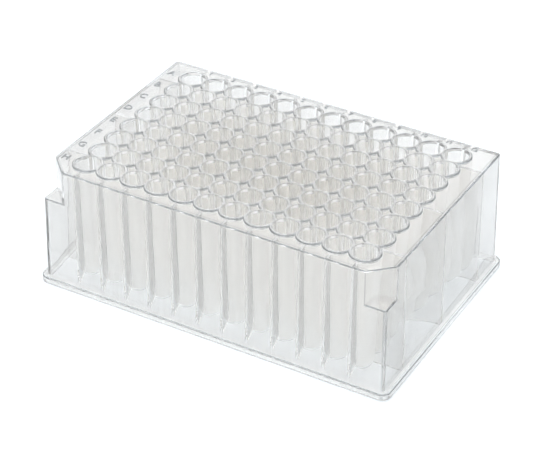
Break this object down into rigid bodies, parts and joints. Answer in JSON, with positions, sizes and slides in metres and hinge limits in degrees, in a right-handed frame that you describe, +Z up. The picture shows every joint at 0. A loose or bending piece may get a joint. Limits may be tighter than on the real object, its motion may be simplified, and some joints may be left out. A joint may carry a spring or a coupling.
{
  "type": "deep-well plate",
  "caption": "Deep-well plate: a rectangular open-bottomed plastic block of round wells with U-shaped bottoms, with a lettered and numbered deck and two cut-back front corners.",
  "frame": {"origin": "centre of the footprint, on the table", "axes": "+X along the numbered columns, +Y towards the first lettered row (away from the cut-back corners), +Z up out of the wells"},
  "size_m": [0.1278, 0.0854, 0.0439],
  "materials": {
    "natural_polypropylene": "natural, unpigmented polypropylene: milky and translucent, smooth as moulded"
  },
  "bodies": {
    "root": {"well_plate": "natural_polypropylene"}
  },
  "joints": []
}
